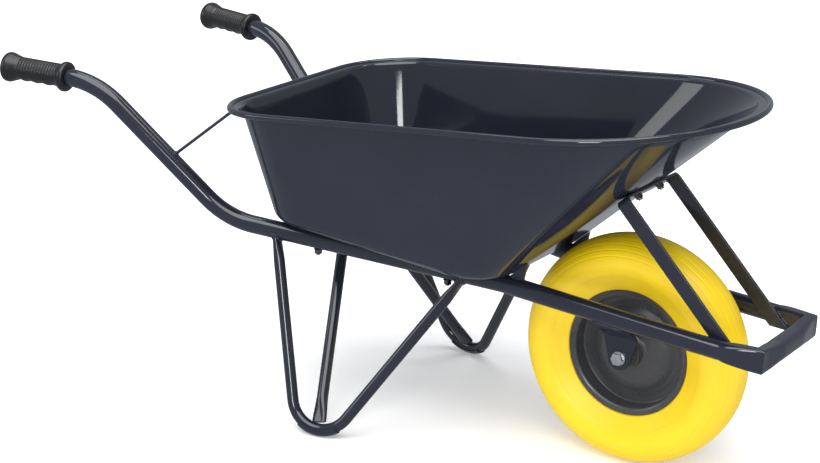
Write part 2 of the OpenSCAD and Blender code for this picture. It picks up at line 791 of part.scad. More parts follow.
// the stay's two bolts stand square to its crossing, with their heads inside the tray
module stay_bolt_place(side) {
  translate(stay_top + [0, side * stay_bolt_y, 0])
    rotate([0, stay_slope - 90, 0])
      children();
}

// from the stay to the underside of its bolts' heads: the tilted wall, then the wall's curve
stay_head = stay_w / 2 * abs(sin(stay_tilt)) + head_r * abs(sin(stay_tilt)) + sheet_t + 1;

module stay_bolts() {
  color(zinc)
    place()
      for (side = [-1, 1])
        stay_bolt_place(side) {
          translate([0, 0, stay_head]) dome(head_r, head_h);
          translate([0, 0, -stay_t - nut_h - bolt_past])
            cylinder(r = bolt_d / 2, h = stay_t + nut_h + bolt_past + stay_head + head_in, $fn = fine);
        }
}

module stay_nuts() {
  color(zinc)
    place()
      for (side = [-1, 1])
        stay_bolt_place(side)
          translate([0, 0, -stay_t - nut_h - weld_gap])
            nut(nut_af, nut_h, bolt_d / 2 + axle_clear);
}

// ---------- wheel, made about Z and laid along Y ----------
module on_axle() {
  place()
    translate([0, 0, wheel_r])
      rotate([-90, 0, 0])
        children();
}

rim_edge_r = wheel_r - tyre_depth;
tyre_mid_r = wheel_r - tyre_depth * 0.47;     // where the tyre is widest
tyre_rise = wheel_r - tyre_mid_r;
module tyre() {
  steps = 24;
  half = tyre_w / 2;
  seat = bead_seat_r + weld_gap;
  edge = rim_w / 2;
  side_in = edge - rim_t - 2 * weld_gap;
  // half of the tyre's bead, outwards: along the rim's seat, up its side and over its edge
  bead = [[seat, side_in - 3], [seat + 1, side_in - 0.5], [rim_edge_r + 0.3, side_in], [rim_edge_r + 1, edge + 1]];
  color(yellow)
    on_axle()
      rotate_extrude($fn = 128)
        polygon(concat(
          [for (p = bead) [p[0], -p[1]]],
          [for (k = [-4:steps + 4]) let (a = -90 + 180 * k / steps)
            [tyre_mid_r + tyre_rise * cos(a), half * sin(a)]],
          turned_back(bead)));
}

// half of the rim: edge, seat for the tyre, step, dished disc and the collar on the hub
module rim_half() {
  edge = rim_w / 2;
  t = rim_t;
  seat = bead_seat_r;
  hub = hub_od / 2 + weld_gap;
  rotate_extrude($fn = 128)
    polygon([
      [hub, 40], [hub + t, 40], [hub + t + 1, 25], [hub + t + 6, 21], [64, 16], [68, 10], [78, 9], [82, 2 + t],
      [seat - t, 2 + t], [seat - t, edge - t], [seat + 2, edge + 0.5], [rim_edge_r - 1, edge + 1.5],
      [rim_edge_r, edge], [rim_edge_r - 1.5, edge - t], [seat + 1, edge - t - 0.5], [seat, edge - t - 3],
      [seat, 0.02], [81, 0.02], [77, 9 - t], [67, 10 - t], [63, 16 - t], [hub + 6, 21 - t], [hub, 23]
    ]);
}

module rim_left() {
  color(wheel_grey) on_axle() rim_half();
}

module rim_right() {
  color(wheel_grey) on_axle() mirror([0, 0, 1]) rim_half();
}

module hub_tube() {
  color(wheel_grey)
    on_axle()
      difference() {
        cylinder(r = hub_od / 2, h = 2 * hub_half, center = true, $fn = fine);
        cylinder(r = outer_ring_r - 3, h = 2 * hub_half + 2, center = true, $fn = fine);
        for (side = [0, 1])
          mirror([0, 0, side])
            translate([0, 0, bearing_in - weld_gap])
              cylinder(r = outer_ring_r + axle_clear, h = bearing_w + 2, $fn = fine);
      }
}

module each_bearing() {
  for (side = [0, 1])
    mirror([0, 0, side])
      translate([0, 0, bearing_in + bearing_w / 2])
        children();
}

module bearing_outer_rings() {
  color(zinc)
    on_axle()
      each_bearing()
        rotate_extrude($fn = fine)
          difference() {
            translate([outer_ring_r - 2.6, -bearing_w / 2]) square([2.6, bearing_w]);
            translate([ball_ring_r, 0]) circle(r = ball_r + ball_clear, $fn = 32);
          }
}

module bearing_inner_rings() {
  color(zinc)
    on_axle()
      each_bearing()
        rotate_extrude($fn = fine)
          difference() {
            translate([axle_r + axle_clear, -bearing_w / 2])
              square([inner_ring_r - axle_r - axle_clear, bearing_w]);
            translate([ball_ring_r, 0]) circle(r = ball_r + ball_clear, $fn = 32);
          }
}

module bearing_balls() {
  color(zinc)
    on_axle()
      each_bearing()
        for (k = [0:balls - 1])
          rotate([0, 0, 360 * k / balls])
            translate([ball_ring_r, 0, 0])
              sphere(r = ball_r, $fn = 24);
}

// ring that slides on to the axle bolt, between two places along it
module axle_ring(r, from, to) {
  translate([0, 0, from])
    difference() {
      cylinder(r = r, h = to - from, $fn = fine);
      translate([0, 0, -1]) cylinder(r = axle_r + axle_clear, h = to - from + 2, $fn = fine);
    }
}

module axle_sleeve() {
  color(zinc) on_axle() axle_ring(inner_ring_r - 0.2, -bearing_in + weld_gap, bearing_in - weld_gap);
}

module axle_spacers() {
  color(zinc)
    on_axle()
      for (side = [0, 1])
        mirror([0, 0, side])
          axle_ring(inner_ring_r + 0.4, hub_half + weld_gap, bracket_in - weld_gap);
}

module axle_washers() {
  color(zinc)
    on_axle()
      for (side = [0, 1])
        mirror([0, 0, side])
          axle_ring(axle_d, bracket_out + weld_gap, bracket_out + axle_washer_t);
}

module axle_bolt() {
  tip = end_y + axle_nut_h + 5;
  color(zinc)
    on_axle() {
      translate([0, 0, -end_y]) cylinder(r = axle_r, h = end_y + tip, $fn = fine);
      translate([0, 0, -end_y - axle_head_h]) cylinder(r = axle_af / 2 / cos(30), h = axle_head_h, $fn = 6);
    }
}

module axle_nut() {
  color(zinc) on_axle() translate([0, 0, end_y]) nut(axle_af, axle_nut_h, axle_r + axle_clear);
}

frame_tube();
grip_left();
grip_right();
leg_left();
leg_right();
leg_brace();
foot_shoe_left();
foot_shoe_right();
axle_bracket_left();
axle_bracket_right();
front_stay();
saddle_left();
saddle_right();
rear_rod();
tray();
tray_bolts();
tray_washers();
tray_nuts();
stay_bolts();
stay_nuts();
tyre();
rim_left();
rim_right();
hub_tube();
bearing_outer_rings();
bearing_balls();
bearing_inner_rings();
axle_sleeve();
axle_spacers();
axle_bolt();
axle_washers();
axle_nut();
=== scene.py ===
import math
import bpy
import mathutils
import numpy as np
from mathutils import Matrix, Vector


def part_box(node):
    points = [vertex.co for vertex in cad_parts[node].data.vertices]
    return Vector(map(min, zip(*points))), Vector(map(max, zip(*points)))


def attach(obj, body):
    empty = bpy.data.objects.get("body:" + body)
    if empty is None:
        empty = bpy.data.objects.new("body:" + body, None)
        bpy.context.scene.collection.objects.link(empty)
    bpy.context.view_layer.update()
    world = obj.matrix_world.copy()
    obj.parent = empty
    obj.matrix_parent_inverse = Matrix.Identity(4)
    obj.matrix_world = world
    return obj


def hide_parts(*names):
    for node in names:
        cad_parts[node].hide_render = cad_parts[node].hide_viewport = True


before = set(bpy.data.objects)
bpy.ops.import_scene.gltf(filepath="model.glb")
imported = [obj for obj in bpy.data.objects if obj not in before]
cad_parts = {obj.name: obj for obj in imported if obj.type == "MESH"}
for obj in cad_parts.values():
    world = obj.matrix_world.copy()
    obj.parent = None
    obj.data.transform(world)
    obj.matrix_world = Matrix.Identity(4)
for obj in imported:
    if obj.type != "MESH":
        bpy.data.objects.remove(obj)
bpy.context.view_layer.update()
print("frame loaded")

# Lengths below are in millimetres, with x and y from the axle and z from the ground, as in the CAD's own
# drawing. place() turns them into the frame's metres.
tyreLow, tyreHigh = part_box("tyre")
axleX = (tyreLow[0] + tyreHigh[0]) / 2
bodyFixed = "barrow"
bodyTurning = "wheel"
upWay = np.array([0, 0, 1.0])
leftWay = np.array([0, 1.0, 0])
weldGap = 0.05  # left between two pieces that touch


def place(points):
    # millimetres from the axle to metres in the frame
    return np.asarray(points, float) * 0.001 + np.array([axleX, 0, 0])


def unit(v):
    # each vector divided by its length
    v = np.asarray(v, float)
    return v / np.linalg.norm(v, axis=-1, keepdims=True)


def flip(points):
    # the same points on the other side of the barrow
    return np.asarray(points, float) * np.array([1, -1, 1])


def smoothStep(t):
    # 3 t squared - 2 t cubed, held between 0 and 1
    t = np.clip(t, 0, 1)
    return t * t * (3 - 2 * t)


def bendPoints(a, p, b, radius, steps):
    # points on the arc that rounds the corner at p between a and b
    a, p, b = (np.asarray(q, float) for q in (a, p, b))
    u, v = unit(p - a), unit(b - p)
    turn = math.acos(float(u @ v))
    inward = unit(v - u * (u @ v))
    middle = p - u * radius * math.tan(turn / 2) + inward * radius
    t = np.linspace(0, turn, steps + 1)[:, None]
    return middle - inward * radius * np.cos(t) + u * radius * np.sin(t)


def addStraights(path, longest):
    # the same path with points added wherever two are further apart than longest
    out = [path[:1]]
    for a, b in zip(path[:-1], path[1:]):
        n = max(1, int(math.ceil(np.linalg.norm(b - a) / longest)))
        t = np.linspace(0, 1, n + 1)[1:, None]
        out.append(a + (b - a) * t)
    return np.concatenate(out)


def lengthAlong(path):
    # distance from the first point to each point, measured along the path
    return np.concatenate([[0], np.cumsum(np.linalg.norm(np.diff(path, axis=0), axis=1))])


def pathFrames(path, up, closed=False):
    # direction, across and high at each point: across is square to the path and to up
    if closed:
        ahead = np.roll(path, -1, 0) - path
        behind = path - np.roll(path, 1, 0)
    else:
        step = np.diff(path, axis=0)
        ahead = np.concatenate([step, step[-1:]])
        behind = np.concatenate([step[:1], step])
    way = unit(unit(ahead) + unit(behind))
    across = unit(np.cross(way, np.broadcast_to(up, way.shape)))
    return way, across, np.cross(across, way)


def roundSection(halfWide, halfHigh, power, sides):
    # superellipse: |x/a|^n + |y/b|^n = 1, with a, b and n given for each ring
    t = (np.arange(sides) + 0.5) * 2 * math.pi / sides
    c, s = np.cos(t)[None], np.sin(t)[None]
    a, b, n = (np.atleast_1d(np.asarray(q, float))[:, None] for q in (halfWide, halfHigh, power))
    r = (np.abs(c) ** n + np.abs(s) ** n) ** (-1 / n)
    return np.stack([a * r * c, b * r * s], -1)


def boxSection(halfWide, halfHigh, corner, steps=4):
    # rectangle with rounded corners, once round
    out = []
    for cx, cy, start in ((1, 1, 0), (-1, 1, 90), (-1, -1, 180), (1, -1, 270)):
        t = np.radians(start + np.linspace(0, 90, steps + 1))
        out.append(np.stack([cx * (halfWide - corner) + corner * np.cos(t),
                             cy * (halfHigh - corner) + corner * np.sin(t)], -1))
    return np.concatenate(out)[None]


def sweep(path, section, up, closed=False):
    # ring k is path[k] + across * section x + high * section y
    way, across, high = pathFrames(path, up, closed)
    section = np.broadcast_to(section, (len(path),) + section.shape[1:])
    return path[:, None] + across[:, None] * section[..., :1] + high[:, None] * section[..., 1:]


def gridFaces(rings, sides, closedAlong):
    # one quad between each two neighbours of each two rings
    i = np.arange(rings if closedAlong else rings - 1)[:, None]
    j = np.arange(sides)[None]
    a = i * sides + j
    b = i * sides + (j + 1) % sides
    c = ((i + 1) % rings) * sides + (j + 1) % sides
    d = ((i + 1) % rings) * sides + j
    return np.stack([a, b, c, d], -1).reshape(-1, 4).tolist()


def solidFromGrid(grid, closedAlong=False):
    # points and faces of a closed skin: the grid's rings, and a fan of triangles over each open end
    rings, sides = grid.shape[:2]
    points = grid.reshape(-1, 3)
    faces = gridFaces(rings, sides, closedAlong)
    if not closedAlong:
        n = len(points)
        points = np.concatenate([points, [grid[0].mean(0), grid[-1].mean(0)]])
        j = np.arange(sides)
        nxt = (j + 1) % sides
        last = (rings - 1) * sides
        faces += np.stack([nxt, j, np.full(sides, n)], -1).tolist()
        faces += np.stack([last + j, last + nxt, np.full(sides, n + 1)], -1).tolist()
    return points, faces


def joined(parts):
    # several (points, faces) as one
    points, faces, n = [], [], 0
    for p, f in parts:
        points.append(p)
        faces += [[n + k for k in face] for face in f]
        n += len(p)
    return np.concatenate(points), faces


def signedVolume(points, faces):
    # a sixth of the sum of a . (b x c) over the triangles: negative when the skin is inside out
    total = 0.0
    quads = np.array([f if len(f) == 4 else list(f) + [f[2]] for f in faces])
    p = points[quads]
    for a, b, c in ((0, 1, 2), (0, 2, 3)):
        total += np.einsum("ij,ij->i", p[:, a], np.cross(p[:, b], p[:, c])).sum()
    return total / 6


def addPiece(name, parts, material, body, replaced=(), sharp=35):
    # each part is turned the right way out, and all become one mesh that rides on a body
    turned = []
    for p, f in parts:
        if signedVolume(p - p.mean(0), f) < 0:
            f = [list(face)[::-1] for face in f]
        turned.append((p, f))
    points, faces = joined(turned)
    mesh = bpy.data.meshes.new(name)
    mesh.from_pydata(place(points).tolist(), [], faces)
    mesh.polygons.foreach_set("use_smooth", np.ones(len(faces), bool))
    mesh.update()
    mesh.set_sharp_from_angle(angle=math.radians(sharp))
    piece = bpy.data.objects.new(name, mesh)
    bpy.context.scene.collection.objects.link(piece)
    mesh.materials.append(material)
    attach(piece, body)
    if replaced:
        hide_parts(*replaced)
    return piece


def addPair(name, build, material, body, node, sharp):
    # a piece for the left and its mirror image for the right: build is called with the side's sign
    for hand, side in (("Left", 1), ("Right", -1)):
        addPiece(name + hand, [build(side)], material, body, [node + "_" + hand.lower()], sharp)


# Finishes
def newMaterial(name):
    material = bpy.data.materials.new(name)
    material.use_nodes = True
    nodes, links = material.node_tree.nodes, material.node_tree.links
    return material, nodes, links, nodes["Principled BSDF"]


def noiseNode(nodes, links, coords, scale, detail, rough=0.5):
    noise = nodes.new("ShaderNodeTexNoise")
    noise.inputs["Scale"].default_value = scale
    noise.inputs["Detail"].default_value = detail
    noise.inputs["Roughness"].default_value = rough
    links.new(coords, noise.inputs["Vector"])
    return noise.outputs["Fac"]


def spread(nodes, links, value, low, high, fromLow=0.3, fromHigh=0.7):
    # the middle of a noise stretched to run from low to high
    node = nodes.new("ShaderNodeMapRange")
    node.inputs["From Min"].default_value = fromLow
    node.inputs["From Max"].default_value = fromHigh
    node.inputs["To Min"].default_value = low
    node.inputs["To Max"].default_value = high
    links.new(value, node.inputs["Value"])
    return node.outputs["Result"]


def mixColors(nodes, links, share, first, second):
    node = nodes.new("ShaderNodeMix")
    node.data_type = "RGBA"
    node.inputs["A"].default_value = (*first, 1)
    node.inputs["B"].default_value = (*second, 1)
    links.new(share, node.inputs["Factor"])
    return node.outputs["Result"]


def bumpNode(nodes, links, height, strength, distance):
    node = nodes.new("ShaderNodeBump")
    node.inputs["Strength"].default_value = strength
    node.inputs["Distance"].default_value = distance
    links.new(height, node.inputs["Height"])
    return node.outputs["Normal"]


def makeFinish(name, look):
    # a slow noise mixes two shades, a fine one sets the roughness, and the bump has the fine one or its own
    material, nodes, links, shader = newMaterial(name)
    coords = nodes.new("ShaderNodeTexCoord").outputs["Object"]
    slow = noiseNode(nodes, links, coords, *look["cloud"])
    links.new(mixColors(nodes, links, spread(nodes, links, slow, 0, 1), look["color"], look["patch"]),
              shader.inputs["Base Color"])
    fine = noiseNode(nodes, links, coords, *look["grain"])
    links.new(spread(nodes, links, fine, *look["gloss"]), shader.inputs["Roughness"])
    height = noiseNode(nodes, links, coords, *look["peel"]) if "peel" in look else fine
    links.new(bumpNode(nodes, links, height, look["bump"], look["bumpDeep"]), shader.inputs["Normal"])
    for socket, value in look.get("sockets", {}).items():
        shader.inputs[socket].default_value = value
    return material


# cloud, grain and peel are a noise's scale, detail and roughness, and gloss is the range of surface roughness
paintLook = {"color": (0.012, 0.014, 0.023), "patch": (0.016, 0.0185, 0.029), "gloss": (0.05, 0.09),
             "cloud": (7, 4), "grain": (60, 5, 0.6), "peel": (420, 2), "bump": 0.02, "bumpDeep": 0.0006,
             "sockets": {"IOR": 1.55}}
wheelLook = {**paintLook, "color": (0.040, 0.041, 0.044), "patch": (0.052, 0.053, 0.057),
             "gloss": (0.24, 0.36), "peel": (500, 2), "bump": 0.06}
rubberLook = {"color": (0.004, 0.004, 0.005), "patch": (0.008, 0.008, 0.010), "gloss": (0.27, 0.42),
              "cloud": (30, 4), "grain": (1500, 3), "bump": 0.25, "bumpDeep": 0.0004}
plateLook = {"color": (0.62, 0.63, 0.66), "patch": (0.82, 0.83, 0.85), "gloss": (0.18, 0.38),
             "cloud": (90, 5), "grain": (900, 3), "bump": 0.12, "bumpDeep": 0.0003,
             "sockets": {"Metallic": 1.0}}
foamLook = {"color": (0.82, 0.56, 0.004), "patch": (0.89, 0.63, 0.008), "gloss": (0.36, 0.5),
            "cloud": (9, 4), "grain": (700, 4), "bump": 0.1, "bumpDeep": 0.0005}
slatePaint = makeFinish("slatePaint", paintLook)
weldPaint = makeFinish("weldPaint", {**paintLook, "gloss": (0.2, 0.34), "bump": 0.25})
wheelPaint = makeFinish("wheelPaint", wheelLook)
gripRubber = makeFinish("gripRubber", rubberLook)
zincPlate = makeFinish("zincPlate", plateLook)
darkPlate = makeFinish("darkPlate", {**plateLook, "color": (0.12, 0.12, 0.13), "patch": (0.2, 0.2, 0.21)})
tyreFoam = makeFinish("tyreFoam", foamLook)
print("finishes made")

# Frame tube
tube = {"radius": 16, "railHalf": 110, "railRise": 88, "slope": 3.7, "splayBack": 204, "heelBack": 717,
        "heelHalf": 199, "wristBack": 960, "wristHalf": 265, "handleRise": 220, "gripReach": 1146,
        "gripHalf": 294.5, "gripRise": 5, "handleBend": 150, "splayBend": 120, "endInGrip": 5,
        "noseX": 273, "noseFold": 20, "noseSwell": 8, "foldRun": 62, "foldLead": 8, "foldThin": 7,
        "foldSquare": 7, "barFlat": 1.5, "sides": 64, "longest": 6}
wheelRadius = 200
railFall = math.tan(math.radians(tube["slope"]))


def railZ(x):
    # height of the rail's middle line: straight, and lower towards the nose
    return wheelRadius + tube["railRise"] - railFall * x


def floorZ(x):
    # the tray's floor lies on the rails: the middle line and the tube's radius, measured straight up
    return railZ(x) + tube["radius"] * math.sqrt(1 + railFall * railFall) + weldGap


heelPt = np.array([-tube["heelBack"], tube["heelHalf"], railZ(-tube["heelBack"])])
splayPt = np.array([-tube["splayBack"], tube["railHalf"], railZ(-tube["splayBack"])])
wristPt = np.array([-tube["wristBack"], tube["wristHalf"], heelPt[2] + tube["handleRise"]])
gripPt = np.array([-tube["gripReach"], tube["gripHalf"], wristPt[2] + tube["gripRise"]])
nosePt = np.array([tube["noseX"], tube["railHalf"], railZ(tube["noseX"])])
gripWay = unit(wristPt - gripPt)


def railPoint(x):
    # point of the left rail's middle line: parallel as far as the splay, then outwards in proportion
    share = (tube["heelHalf"] - tube["railHalf"]) / (tube["heelBack"] - tube["splayBack"])
    y = tube["railHalf"] + max(0.0, -tube["splayBack"] - x) * share
    return np.array([x, y, railZ(x)])


def buildFrameTube():
    # round section carried along straights and bends from the left handle round the nose to the right one
    r = tube["radius"]
    # the tube is pressed flat at the folds, whose sharp outer corners stand where the rails' middle lines end
    thin = r - tube["foldThin"]
    fold = nosePt - np.array([thin, thin, 0])
    barX = tube["noseX"] + tube["noseSwell"] - r
    foldX, foldY = tube["noseX"] - tube["foldRun"], tube["railHalf"] - tube["foldRun"]
    half = np.concatenate([
        [gripPt + gripWay * tube["endInGrip"]],
        bendPoints(gripPt, wristPt, heelPt, tube["handleBend"], 28),
        bendPoints(wristPt, heelPt, splayPt, tube["handleBend"], 22),
        bendPoints(heelPt, splayPt, nosePt, tube["splayBend"], 8),
        [railPoint(foldX - tube["foldLead"]), railPoint(foldX), fold],
        [[barX, foldY, nosePt[2]], [barX, foldY - tube["foldLead"], nosePt[2]]]])
    path = addStraights(np.concatenate([half, flip(half)[::-1]]), tube["longest"])
    # nearness to a fold: 1 at the fold and 0 a fold's run away from it
    far = np.minimum(np.linalg.norm(path - fold, axis=1), np.linalg.norm(path - flip(fold), axis=1))
    near = np.clip(1 - far / tube["foldRun"], 0, 1)
    # each fold is a mitre, so its own ring is wider by 1 / cos(45 degrees)
    wide = (r - tube["foldThin"] * near) * np.where(far < 0.01, math.sqrt(2), 1)
    onBar = smoothStep((path[:, 0] - fold[0] + 1) / 2)
    power = 2 + np.maximum(tube["foldSquare"] * near, tube["barFlat"] * onBar)
    section = roundSection(wide, r + (tube["noseFold"] - r) * near, power, tube["sides"])
    return solidFromGrid(sweep(path, section, upWay))


addPiece("frameTube", [buildFrameTube()], slatePaint, bodyFixed, ["frame_tube"], 40)
print("frame tube done")

# Grips
grip = {"length": 132, "hand": 21, "flare": 27, "collar": 12, "ribs": 17, "ribDeep": 0.9, "waves": 4,
        "waveDeep": 1.7, "handFrom": 33, "handRings": 150, "sides": 72}


def buildGrip(side):
    # turned profile whose radius gains ribs over the top and outside, and finger waves underneath
    l, h, f, c = grip["length"], grip["hand"], grip["flare"], grip["collar"]
    inner = tube["radius"] + 0.2
    # (radius, distance from the handle's end): the flared end, the hand's part, and the collar
    flared = [[0, 0.5], [f - 8, 0.2], [f - 5.6, 0.5], [f - 3.4, 1.4], [f - 1.6, 3.2], [f - 0.4, 5.8], [f, 8.5],
              [f - 0.2, 12], [f - 1, 15], [f - 3, 20], [h + 1.2, 26], [h, 32]]
    held = np.linspace(grip["handFrom"], l - c - 8, grip["handRings"])
    collar = [[h + 0.6, l - c - 6], [h + 2, l - c - 3], [f - 2.5, l - c - 1.2], [f - 0.8, l - c + 0.6],
              [f, l - c + 3.2], [f, l - c / 2], [f - 0.5, l - 3.2], [f - 2, l - 1.2], [f - 4.5, l],
              [inner + 0.1, l], [inner, l - 6]]
    profile = np.concatenate([flared, np.stack([np.full(len(held), float(h)), held], -1), collar])
    r, z = profile[:, 0][:, None], profile[:, 1][:, None]
    t = (np.arange(grip["sides"]) * 2 * math.pi / grip["sides"])[None]
    across = unit(np.cross(gripWay, upWay))
    high = np.cross(across, gripWay)
    # ribs and waves fade out before the flare and the collar
    on = smoothStep((z - 16) / 6) * smoothStep((l - c - 5 - z) / 5)
    top = smoothStep(0.5 + 0.9 * np.sin(t))
    under = smoothStep(-0.2 - 1.1 * np.sin(t))
    ribPitch = (l - c - 24) / grip["ribs"]
    wavePitch = (l - c - 26) / grip["waves"]
    ribs = (np.clip(0.5 + 0.9 * np.cos(2 * math.pi * (z - 20) / ribPitch), 0, 1) - 0.3) * grip["ribDeep"]
    waves = (0.5 - 0.5 * np.cos(2 * math.pi * (z - 22) / wavePitch)) * grip["waveDeep"]
    r = r + on * (ribs * top - waves * under)
    around = across * np.cos(t)[..., None] + high * np.sin(t)[..., None]
    grid = gripPt + gripWay * z[..., None] + around * r[..., None]
    return solidFromGrid(grid if side > 0 else flip(grid))


addPair("grip", buildGrip, gripRubber, bodyFixed, "grip", 50)
print("grips done")

# Legs, brace and wear plates
leg = {"radius": 10, "rearBack": 622, "frontBack": 268, "footBack": 474, "footHalf": 253, "bend": 57,
       "flatFrom": 14, "flatRun": 46, "flatThin": 4.5, "flatWide": 3.5, "flatSquare": 1.2, "pull": 60,
       "sides": 32, "longest": 5}
brace = {"back": 575, "footRise": 3, "underFloor": 0.5, "footCut": 9, "flatFrom": 12, "flatRun": 48,
         "flatThin": 4.5, "flatWide": 4.0, "flatSquare": 1.0}
shoe = {"thick": 2, "reach": 34, "halfTurn": 88}


def veePath(topA, low, topB, up, radius, steps=24):
    # one straight, a bend whose turning point is low, and the other straight
    topA, low, topB = (np.asarray(q, float) for q in (topA, low, topB))
    n = unit(np.cross(topA - low, topB - low))
    level = unit(np.cross(up, n))
    g = unit(np.cross(n, level))
    o = low + g * radius
    ends = []
    for top in (topA, topB):
        a = math.atan2(float((top - o) @ level), float(-(top - o) @ g))
        ends.append(a - math.copysign(math.acos(radius / np.linalg.norm(top - o)), a))
    t = np.linspace(ends[0], ends[1], steps + 1)[:, None]
    bend = o + (level * np.sin(t) - g * np.cos(t)) * radius
    return np.concatenate([[topA], bend, [topB]]), n, level, g, o


legTops = railPoint(-leg["rearBack"]), railPoint(-leg["frontBack"])
footLow = np.array([-leg["footBack"], leg["footHalf"], shoe["thick"] + weldGap + leg["radius"]])
legLine, legNormal, legLevel, legUp, footMiddle = veePath(legTops[0], footLow, legTops[1], upWay, leg["bend"])


def meetRail(points, way, a, b, radius):
    # slides each point along way until it is radius away from the line through a and b: the first root of
    # |p + w t| = radius, with p and w square to the line
    line = unit(b - a)
    p = points - a
    pp = p - (p @ line)[..., None] * line
    w = way - (way @ line) * line
    qa, qb, qc = w @ w, 2 * (pp @ w), np.einsum("...i,...i->...", pp, pp) - radius * radius
    root = np.sqrt(np.maximum(qb * qb - 4 * qa * qc, 0))
    return points + way * ((-qb - root) / (2 * qa))[..., None]


weld = {"leg": 2.3, "rod": 1.8, "plate": 2.0, "saddle": 1.6, "legRipples": 17, "rodRipples": 8, "ripple": 4.5,
        "step": 0.8, "sides": 12, "around": 72, "bracketHalf": 28, "bracketOut": 8.4, "bracketIn": 9.5,
        "stayFrom": -9, "stayTo": 11, "saddleFrom": 5, "saddleTo": 23, "saddleHalf": 3.1}


def beadRound(points, radius, up, ripples, seed):
    # weld bead: a small round section carried round a closed line, swelling at each ripple
    rng = np.random.default_rng(seed)
    n = len(points)
    t = np.arange(n) / n
    size = radius * (1 + 0.16 * np.cos(2 * math.pi * ripples * t) + 0.08 * rng.standard_normal(n))
    return solidFromGrid(sweep(points, roundSection(size, size, 2, weld["sides"]), up, True), True)


def beadLine(a, b, radius, up, seed):
    # weld bead along a straight line, with a swell at each ripple and rounded ends
    a, b = np.asarray(a, float), np.asarray(b, float)
    long = np.linalg.norm(b - a)
    t = np.linspace(0, 1, max(12, int(long / weld["step"])))
    rng = np.random.default_rng(seed)
    swell = np.cos(2 * math.pi * long / weld["ripple"] * t)
    size = radius * (1 + 0.16 * swell + 0.07 * rng.standard_normal(len(t)))
    size = size * np.sqrt(np.clip(1 - (2 * t - 1) ** 8, 0.02, 1))
    return solidFromGrid(sweep(a + (b - a) * t[:, None], roundSection(size, size, 2, weld["sides"]), up))


def pressedTube(path, shape):
    # round tube whose two ends are pressed thinner in the plane of its V and wider across it
    s = lengthAlong(path)
    end = np.minimum(s, s[-1] - s)
    press = smoothStep(1 - (end - shape["flatFrom"]) / shape["flatRun"])
    return roundSection(leg["radius"] - shape["flatThin"] * press, leg["radius"] + shape["flatWide"] * press,
                        2 + shape["flatSquare"] * press, leg["sides"])


def legSkin():
    path = addStraights(legLine, leg["longest"])
    grid = sweep(path, pressedTube(path, leg), legNormal)
    # each end stops at the rail's skin, and the rings behind it that would stand past it are spaced out again
    for end, step, middle in ((0, 1, legTops[0]), (-1, -1, legTops[1])):
        way = unit(path[end] - path[end + 4 * step])
        x = middle[0]
        grid[end] = meetRail(grid[end] - way * leg["pull"], way, railPoint(x - 30), railPoint(x + 30),
                             tube["radius"] - 0.3)
        ring = grid[end]
        inside = unit(grid[end + step * 30] - grid[end + step * 31]).mean(0)
        k = 1
        while k < 12 and ((grid[end + step * k] - ring) @ inside > -1).any():
            k += 1
        for m in range(1, k):
            grid[end + step * m] = ring + (grid[end + step * k] - ring) * (m / k)
    return grid


def buildLeg(side):
    grid = legSkin()
    return solidFromGrid(grid if side > 0 else flip(grid))


addPair("leg", buildLeg, slatePaint, bodyFixed, "leg", 40)

braceLow = footLow + upWay * brace["footRise"]
braceTop = np.array([-brace["back"], 0, floorZ(-brace["back"]) - brace["underFloor"] - leg["radius"]])
braceLine, braceNormal = veePath(braceLow, braceTop, flip(braceLow), -upWay, leg["bend"])[:2]


def buildBrace():
    # the same pressed tube from foot to foot, flat where it lies on the legs' bends and cut short of their middle
    path = addStraights(braceLine, leg["longest"])
    section = pressedTube(path, brace)
    s = lengthAlong(path)
    keep = np.minimum(s, s[-1] - s) > brace["footCut"]
    return solidFromGrid(sweep(path[keep], section[keep], braceNormal))


addPiece("legBrace", [buildBrace()], slatePaint, bodyFixed, ["leg_brace"], 40)


def buildShoe(side):
    # half round plate, bent round the underside of the foot's bend, with its edges rounded
    inner = leg["radius"] + weldGap
    outer = inner + shoe["thick"]
    t = np.radians(np.linspace(-shoe["halfTurn"], shoe["halfTurn"], 29))
    turn = np.stack([np.cos(t), np.sin(t)], -1)
    edge = (inner + outer) / 2
    ring = np.concatenate([outer * turn, [[0, edge]], inner * turn[::-1], [[0, -edge]]])
    a = np.radians(np.linspace(-shoe["reach"], shoe["reach"], 49))
    away = legLevel * np.sin(a)[:, None] - legUp * np.cos(a)[:, None]
    grid = footMiddle + away[:, None] * (leg["bend"] + ring[None, :, :1]) + legNormal * ring[None, :, 1:]
    return solidFromGrid(grid if side > 0 else flip(grid))


addPair("footShoe", buildShoe, slatePaint, bodyFixed, "foot_shoe", 40)
print("legs done")

# Tray
tray = {"sheet": 1.5, "gap": 13.7, "floorLong": 452.6, "floorHalf": 202, "rearCorner": 75, "frontCorner": 91,
        "edge": 29, "frontRake": 349, "rearRake": 57.4, "mouthHalf": 251.5, "mouthCorner": 105,
        "rimRise": 326, "rimSlope": 5.7, "lipOut": 21, "bead": 5.5, "lipTurn": 4, "footGuess": -190,
        "cornerSteps": 40, "wallSteps": 14, "edgeSteps": 14, "turnSteps": 5, "beadSteps": 27}
rimClimb = math.tan(math.radians(tray["rimSlope"]))
lipHalf = tray["sheet"] / 2


def rimZ(x):
    # height of the lip's middle: straight, and higher towards the nose
    return wheelRadius + tube["railRise"] + tray["rimRise"] + rimClimb * x


def wallLean(x):
    # angle above level of a front wall whose foot is at x
    return math.atan2(rimZ(x + tray["frontRake"]) - lipHalf - tray["lipTurn"] - floorZ(x), tray["frontRake"])


def wallFoot():
    # the front wall's foot, stepped until the wall clears the tyre by the wanted gap
    x = tray["footGuess"]
    for step in range(12):
        clear = (floorZ(x) - wheelRadius) * math.cos(wallLean(x)) - x * math.sin(wallLean(x))
        x = x - (wheelRadius + tray["gap"] - clear) / math.sin(wallLean(x))
    return x


